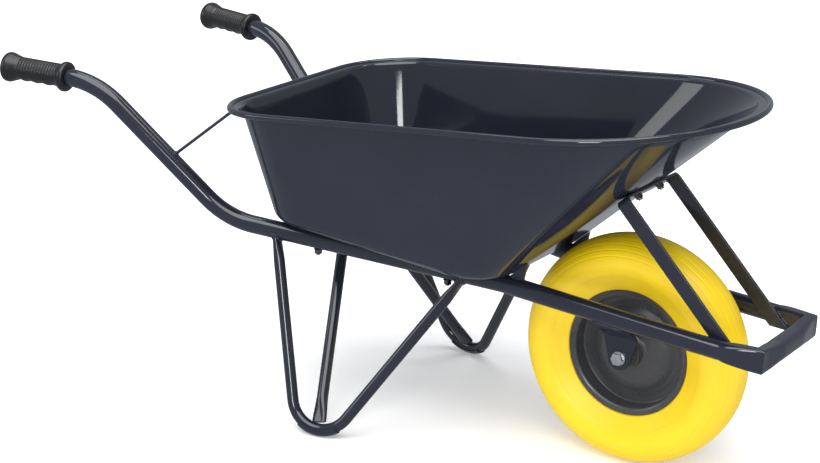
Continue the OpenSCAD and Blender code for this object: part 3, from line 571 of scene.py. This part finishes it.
floorFront = wallFoot()
floorRear = floorFront - tray["floorLong"]
mouthFront = floorFront + tray["frontRake"]
mouthRear = floorRear - tray["rearRake"]
frontLean = wallLean(floorFront)
cornerTurns = np.radians(np.linspace(0, 90, tray["cornerSteps"] + 1))
cornerStarts = np.radians([180, 270, 0, 90])


def outline(xRear, xFront, half, rearR, frontR):
    # rectangle with four quarter circles for corners, once round from the rear right one
    middles = ((xRear + rearR, -half + rearR, rearR), (xFront - frontR, -half + frontR, frontR),
               (xFront - frontR, half - frontR, frontR), (xRear + rearR, half - rearR, rearR))
    return np.concatenate([np.stack([x + r * np.cos(start + cornerTurns), y + r * np.sin(start + cornerTurns)], -1)
                           for (x, y, r), start in zip(middles, cornerStarts)])


def mouthRing(out, up):
    # the mouth's outline, moved outwards and upwards
    xy = outline(mouthRear - out, mouthFront + out, tray["mouthHalf"] + out, tray["mouthCorner"] + out,
                 tray["mouthHalf"] + out)
    return np.column_stack([xy, rimZ(xy[:, 0]) + up])


def wallRings(foot, top):
    # straight wall between two rings, with no ring repeated
    t = np.linspace(0, 1, tray["wallSteps"] + 1)[1:-1]
    return [foot + (top - foot) * s for s in t]


def buildTray():
    # floor line: where the floor would meet the walls without its rounded edge
    turn, b, sheet = tray["lipTurn"], tray["bead"], tray["sheet"]
    xy = outline(floorRear, floorFront, tray["floorHalf"], tray["rearCorner"], tray["frontCorner"])
    line = np.column_stack([xy, floorZ(xy[:, 0])])
    top = mouthRing(0, -lipHalf - turn)
    t = np.concatenate([start + cornerTurns for start in cornerStarts])
    floorUp = unit([railFall, 0, 1])
    along = unit(np.column_stack([-np.sin(t), np.cos(t), railFall * np.sin(t)]))
    out = np.cross(along, floorUp)
    rise = top - line
    rise = unit(rise - along * np.sum(rise * along, 1, keepdims=True))
    bend = np.arccos(np.clip(np.sum(out * rise, 1, keepdims=True), -1, 1))
    middle = line - out * tray["edge"] * np.tan(bend / 2) + floorUp * tray["edge"]
    inward = floorUp * np.cos(bend) - out * np.sin(bend)
    # rounded edge: middle - up * r cos(bend s) + out * r sin(bend s), for a share s of the bend
    shares = np.linspace(0, 1, tray["edgeSteps"] + 1)

    def edgeRing(r, s):
        return middle - floorUp * r * np.cos(bend * s) + out * r * np.sin(bend * s)

    outer = [edgeRing(tray["edge"], s) for s in shares]
    inner = [edgeRing(tray["edge"] - sheet, s) for s in shares][::-1]
    turnOut = [mouthRing(turn * (1 - math.cos(a)), -lipHalf - turn * (1 - math.sin(a)))
               for a in np.radians(np.linspace(0, 90, tray["turnSteps"] + 1))]
    beadIn = math.asin(lipHalf / b)
    beadRings = [mouthRing(tray["lipOut"] + b * math.cos(a), b * math.sin(a))
                 for a in np.linspace(math.pi + beadIn, 3 * math.pi - beadIn, tray["beadSteps"] + 1)]
    # the same turn on the inner face, eased from the lip's upper face to the wall's inner face
    lipEnd, wallEnd = mouthRing(turn - sheet, lipHalf), top + inward * sheet
    corner = wallEnd + rise * (turn * 0.6)
    turnIn = [(1 - s) ** 2 * lipEnd + 2 * s * (1 - s) * corner + s ** 2 * wallEnd
              for s in np.linspace(0, 1, tray["turnSteps"] + 1)]
    rings = (outer + wallRings(outer[-1], turnOut[0]) + turnOut + beadRings + turnIn
             + wallRings(turnIn[-1], inner[0]) + inner)
    return solidFromGrid(np.array(rings))


addPiece("traySheet", [buildTray()], slatePaint, bodyFixed, ["tray"], 50)
print("tray done")

# Front stay
stay = {"wide": 25, "thick": 5, "slope": 45.8, "front": -2, "bend": 10, "corner": 0.9}
slopeRad = math.radians(stay["slope"])
stayDir = np.array([math.cos(slopeRad), 0, -math.sin(slopeRad)])
stayTilt = math.pi / 2 - slopeRad - frontLean
stayTop = np.array([stay["front"], 0, floorZ(floorFront) + (stay["front"] - floorFront) * math.tan(frontLean)
                    - (stay["wide"] / 2 * abs(math.sin(stayTilt)) + weldGap) / math.cos(frontLean)])
stayHalf = tube["railHalf"] - tube["radius"] - weldGap
closing = math.sin(slopeRad) - railFall * math.cos(slopeRad)


def stayReach(p, rise):
    # how far along the stay from p it comes to the height of the rail's middle plus a rise
    return (p[..., 2] - railZ(p[..., 0]) - rise) / closing


def buildStay():
    # flat bar on its middle line: down one leg, round two bends, up the other; its ends are cut level with the
    # rails' undersides
    m = stay["thick"] / 2
    across = leftWay * (stayHalf - m)
    corner = stayTop + stayDir * m
    reach = stayDir * float(stayReach(corner, -tube["radius"]))
    right, left = corner - across, corner + across
    ends = right + reach, left + reach
    near = [end - stayDir * 2 * stay["wide"] for end in ends]
    path = np.concatenate([[near[0]],
                           bendPoints(ends[0], right, left, stay["bend"] - m, 12),
                           bendPoints(right, left, ends[1], stay["bend"] - m, 12),
                           [near[1]]])
    path = np.concatenate([[ends[0]], addStraights(path, 12), [ends[1]]])
    grid = sweep(path, boxSection(m, stay["wide"] / 2, stay["corner"]), np.cross(stayDir, leftWay))
    for k in (0, -1):
        grid[k] += stayDir * stayReach(grid[k], -tube["radius"])[:, None]
    return solidFromGrid(grid)


addPiece("frontStay", [buildStay()], slatePaint, bodyFixed, ["front_stay"], 30)

# Rear rod
rod = {"radius": 3, "share": 0.56, "behind": 4.5, "half": 200, "below": 5, "bend": 22, "sides": 20}
rodLow = wristPt + (heelPt - wristPt) * rod["share"]
rodHigh = np.array([mouthRear - rod["behind"], rod["half"], rimZ(mouthRear) - tray["bead"] - rod["below"]])


def buildRod():
    # round section up from the left rail, across under the lip and down to the right rail, cut inside the rails
    half = np.concatenate([[rodLow], bendPoints(rodLow, rodHigh, flip(rodHigh), rod["bend"], 14)])
    path = addStraights(np.concatenate([half, flip(half)[::-1]]), 8)
    s = lengthAlong(path)
    keep = np.minimum(s, s[-1] - s) > tube["radius"] * 0.9
    section = roundSection(rod["radius"], rod["radius"], 2, rod["sides"])
    return solidFromGrid(sweep(path[keep], section, unit(np.cross(rodHigh - rodLow, leftWay))))


addPiece("rearRod", [buildRod()], slatePaint, bodyFixed, ["rear_rod"], 40)
print("stay and rod done")

# Welds
def ringOf(path, end, halfWide, halfHigh, up):
    # ellipse square to the path at one of its ends, and the way out of the path there
    way, across, high = pathFrames(path, up)
    t = np.linspace(0, 2 * math.pi, weld["around"], endpoint=False)[:, None]
    ring = path[end] + across[end] * halfWide * np.cos(t) + high[end] * halfHigh * np.sin(t)
    return ring, way[end] if end == 0 else -way[end]


def buildWelds():
    # round beads where a tube's end stands on the rail: its ring pushed along the tube onto the rail's skin
    parts = []
    path = addStraights(legLine, leg["longest"])
    for end, middle, seed in ((0, legTops[0], 5), (-1, legTops[1], 6)):
        ring, way = ringOf(path, end, leg["radius"] - leg["flatThin"] + 1, leg["radius"] + leg["flatWide"] + 1,
                           legNormal)
        x = middle[0]
        line = meetRail(ring + way * leg["pull"], -way, railPoint(x - 30), railPoint(x + 30), tube["radius"] + 0.4)
        parts.append(beadRound(line, weld["leg"], railPoint(x + 1) - line.mean(0), weld["legRipples"], seed))
    ring, way = ringOf(np.array([rodLow, rodHigh]), 0, rod["radius"] * 1.2, rod["radius"] * 1.2, upWay)
    line = meetRail(ring + way * 40, -way, wristPt, heelPt, tube["radius"] + 0.2)
    parts.append(beadRound(line, weld["rod"], unit(heelPt - wristPt), weld["rodRipples"], 11))
    # straight beads: the axle bracket's two edges along the rail
    half = weld["bracketHalf"]
    for y, seed in ((tube["railHalf"] + weld["bracketOut"], 21), (tube["railHalf"] - weld["bracketIn"], 22)):
        drop = math.sqrt(tube["radius"] ** 2 - (y - tube["railHalf"]) ** 2) + 1
        parts.append(beadLine([-half, y, railZ(-half) - drop], [half, y, railZ(half) - drop], weld["plate"],
                              upWay, seed))
    # the stay's two edges against the rail's inner face, and the saddle's two faces on the rail
    rear, front = floorFront + weld["saddleFrom"], floorFront + weld["saddleTo"]
    top = tube["radius"] + 0.4
    for sign in (-1, 1):
        side = stayTop + np.cross(stayDir, leftWay) * sign * (stay["wide"] / 2 + 0.6)
        foot, high = (side + stayDir * stayReach(side, rise) for rise in (weld["stayFrom"], weld["stayTo"]))
        foot[1] = high[1] = stayHalf + 0.3
        parts.append(beadLine(foot, high, weld["plate"], leftWay, 30 + sign))
        y = tube["railHalf"] + sign * weld["saddleHalf"]
        parts.append(beadLine([rear, y, railZ(rear) + top], [front, y, railZ(front) + top], weld["saddle"],
                              upWay, 40 + sign))
    return parts + [(flip(p), f) for p, f in parts]


addPiece("weldBeads", buildWelds(), weldPaint, bodyFixed)
print("welds done")

# Tyre
tyre = {"half": 54.5, "depth": 90, "middle": 0.47, "halfTurn": 122, "seat": 100, "ribs": 13, "ribDeep": 0.55,
        "ribsTo": 84, "ribsFade": 14, "around": 192, "rings": 300}
rim = {"half": 33.5, "sheet": 2, "hub": 22.05, "around": 160}


def turned(profile, around):
    # profile of (radius, place along the axle) carried once round the axle
    t = np.linspace(0, 2 * math.pi, around, endpoint=False)
    r, y = profile[:, 0], profile[:, 1]
    x = r[None] * np.cos(t)[:, None]
    z = wheelRadius + r[None] * np.sin(t)[:, None]
    return np.stack([x, np.broadcast_to(y[None], x.shape), z], -1)


def buildTyre():
    # section: an arc of an ellipse over the tread and both sides, closed by the two beads in the rim
    rimEdge = wheelRadius - tyre["depth"]
    middle = wheelRadius - tyre["depth"] * tyre["middle"]
    seat, sideIn = tyre["seat"], rim["half"] - rim["sheet"] - 0.1
    bead = np.array([[seat + weldGap, sideIn - 3], [seat + 1, sideIn - 0.5], [rimEdge + 0.3, sideIn],
                     [rimEdge + 0.9, rim["half"] + 0.8], [rimEdge + 2.6, rim["half"] + 2.6]])
    a = np.radians(np.linspace(-tyre["halfTurn"], tyre["halfTurn"], tyre["rings"]))
    arc = np.stack([middle + (wheelRadius - middle) * np.cos(a), tyre["half"] * np.sin(a)], -1)
    # fine ribs run round the tread and shoulders: a rounded groove between each two
    over = smoothStep((math.radians(tyre["ribsTo"]) - np.abs(a)) / math.radians(tyre["ribsFade"]))
    groove = np.clip(np.cos(a * tyre["ribs"] * 2) * 1.6 - 0.9, 0, 1) * tyre["ribDeep"] * over
    arc = arc - np.stack([np.cos(a), np.sin(a)], -1) * groove[:, None]
    profile = np.concatenate([bead * [1, -1], arc, bead[::-1]])
    return solidFromGrid(turned(profile, tyre["around"]), True)


addPiece("tyreRing", [buildTyre()], tyreFoam, bodyTurning, ["tyre"], 60)

# Rim
def smoothProfile(points, rounds, steps=5):
    # each corner of a closed profile rounded by a radius of its own: a parabola between its two tangents
    out = []
    n = len(points)
    for k in range(n):
        a, p, b = (np.array(points[(k + d) % n], float) for d in (-1, 0, 1))
        u, v = unit(p - a), unit(b - p)
        turn = math.acos(float(np.clip(u @ v, -1, 1)))
        back = min(rounds[k] * math.tan(turn / 2), 0.45 * np.linalg.norm(p - a), 0.45 * np.linalg.norm(b - p))
        if back < 0.02:
            out.append(p[None])
            continue
        s, e = p - u * back, p + v * back
        t = np.linspace(0, 1, steps + 1)[:, None]
        out.append((1 - t) ** 2 * s + 2 * t * (1 - t) * p + t ** 2 * e)
    return np.concatenate(out)


def buildRim(side):
    # section of one pressed half: hub flange, dished disc, well, bead seat and edge, out and back
    edge, t, seat, hub = rim["half"], rim["sheet"], tyre["seat"], rim["hub"]
    rimEdge = wheelRadius - tyre["depth"]
    # (radius, place along the axle, radius of the corner)
    outerFace = [[hub, 40, 0.3], [hub + t, 40, 0.8], [hub + t + 1, 25, 3], [hub + t + 6, 21, 6], [56, 18, 20],
                 [67, 13, 12], [76, 7, 12], [86, 2 + t, 12], [seat - t, 2 + t, 4], [seat - t, edge - t, 4],
                 [seat + 2, edge + 0.5, 2], [rimEdge - 1, edge + 1.5, 0.8]]
    innerFace = [[rimEdge, edge, 0.8], [rimEdge - 1.5, edge - t, 2], [seat + 1, edge - t - 0.5, 1],
                 [seat, edge - t - 3, 1], [seat, 0.02, 0.2], [85, 0.02, 2], [75, 7 - t, 2], [66, 13 - t, 3],
                 [55, 18 - t, 4], [hub + 6, 21 - t, 3], [hub, 23, 0.3]]
    corners = np.array(outerFace + innerFace)
    profile = smoothProfile(corners[:, :2], corners[:, 2]) * [1, side]
    return solidFromGrid(turned(profile, rim["around"]), True)


addPair("rim", buildRim, wheelPaint, bodyTurning, "rim", 50)
print("wheel done")

# Finishes on the CAD nodes that stay
kept = [(slatePaint, ["axle_bracket_left", "axle_bracket_right", "saddle_left", "saddle_right"]),
        (wheelPaint, ["hub_tube"]),
        (darkPlate, ["tray_bolts", "tray_washers", "tray_nuts", "stay_bolts", "stay_nuts"]),
        (zincPlate, ["bearing_outer_rings", "bearing_balls", "bearing_inner_rings", "axle_sleeve", "axle_spacers",
                     "axle_bolt", "axle_washers", "axle_nut"])]
for material, nodeNames in kept:
    for nodeName in nodeNames:
        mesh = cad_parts[nodeName].data
        mesh.materials.clear()
        mesh.materials.append(material)
print("other nodes finished")

# Floor, light and camera
studio = {"floorSize": 60, "floorColor": (0.95, 0.95, 0.95), "floorRough": 0.9, "floorGlow": 0.2,
          "worldColor": (0.9, 0.93, 1.0), "world": 0.42, "sun": 3.2, "sunSoft": 60, "sunFrom": (0.5, -1.5, 4.0)}
# each lamp: where it stands, what it points at, its width, its height and its power, in metres and watts
lamps = {"stripLight": ((-0.3, 0.9, 3.2), (0, 0, 0.3), 3.0, 0.3, 22),
         "windowLight": ((1.35, -3.2, 1.3), (-0.1, 0, 0.5), 0.8, 1.0, 36),
         "sideLight": ((-3.4, -2.6, 1.8), (0, 0, 0.4), 1.8, 1.4, 22)}


def addFloor():
    half = studio["floorSize"] / 2
    mesh = bpy.data.meshes.new("studioFloor")
    mesh.from_pydata([(-half, -half, 0), (half, -half, 0), (half, half, 0), (-half, half, 0)], [], [(0, 1, 2, 3)])
    material, _, _, shader = newMaterial("floorPaper")
    shader.inputs["Base Color"].default_value = (*studio["floorColor"], 1)
    shader.inputs["Roughness"].default_value = studio["floorRough"]
    shader.inputs["Emission Color"].default_value = (1, 1, 1, 1)
    shader.inputs["Emission Strength"].default_value = studio["floorGlow"]
    mesh.materials.append(material)
    floor = bpy.data.objects.new("studioFloor", mesh)
    bpy.context.scene.collection.objects.link(floor)
    floor.visible_glossy = False


def aimed(name, data, spot, target):
    # a lamp shines along its own -Z, so its Z points back from the target
    lamp = bpy.data.objects.new(name, data)
    bpy.context.scene.collection.objects.link(lamp)
    lamp.location = spot
    back = unit(np.array(spot, float) - np.array(target, float))
    side = unit(np.cross(upWay, back))
    high = np.cross(back, side)
    lamp.rotation_euler = mathutils.Matrix(np.column_stack([side, high, back]).tolist()).to_euler()
    return lamp


def addArea(name, spot, target, wide, high, power):
    data = bpy.data.lights.new(name, "AREA")
    data.shape = "RECTANGLE"
    data.size, data.size_y, data.energy = wide, high, power
    return aimed(name, data, spot, target)


addFloor()
sunData = bpy.data.lights.new("topSun", "SUN")
sunData.energy = studio["sun"]
sunData.angle = math.radians(studio["sunSoft"])
aimed("topSun", sunData, studio["sunFrom"], (0, 0, 0))
for name, lamp in lamps.items():
    addArea(name, *lamp)

world = bpy.data.worlds.new("studioWorld")
world.use_nodes = True
background = world.node_tree.nodes["Background"]
background.inputs["Color"].default_value = (*studio["worldColor"], 1)
background.inputs["Strength"].default_value = studio["world"]
bpy.context.scene.world = world
bpy.context.scene.view_settings.view_transform = "Standard"

view = {"spot": (1436.2, -3034.0, 1465.4), "azimuth": 32.09, "elevation": 17.91, "roll": 2.15, "lens": 92.385,
        "shiftX": 0.00376, "shiftY": 0.00168, "sensor": 36, "clip": 200}


def addCamera():
    # back points from the object to the camera, and roll turns the camera about it
    a, e, q = (math.radians(view[k]) for k in ("azimuth", "elevation", "roll"))
    back = np.array([math.sin(a) * math.cos(e), -math.cos(a) * math.cos(e), math.sin(e)])
    level = unit(np.cross(upWay, back))
    high = np.cross(back, level)
    right = level * math.cos(q) + high * math.sin(q)
    high = np.cross(back, right)
    data = bpy.data.cameras.new("mainCamera")
    data.sensor_width = view["sensor"]
    data.lens = view["lens"]
    data.shift_x, data.shift_y = view["shiftX"], view["shiftY"]
    data.clip_end = view["clip"]
    camera = bpy.data.objects.new("mainCamera", data)
    bpy.context.scene.collection.objects.link(camera)
    turn = mathutils.Matrix(np.column_stack([right, high, back]).tolist()).to_4x4()
    turn.translation = mathutils.Vector(place(view["spot"]).tolist())
    camera.matrix_world = turn
    bpy.context.scene.camera = camera


addCamera()
print("stage done")
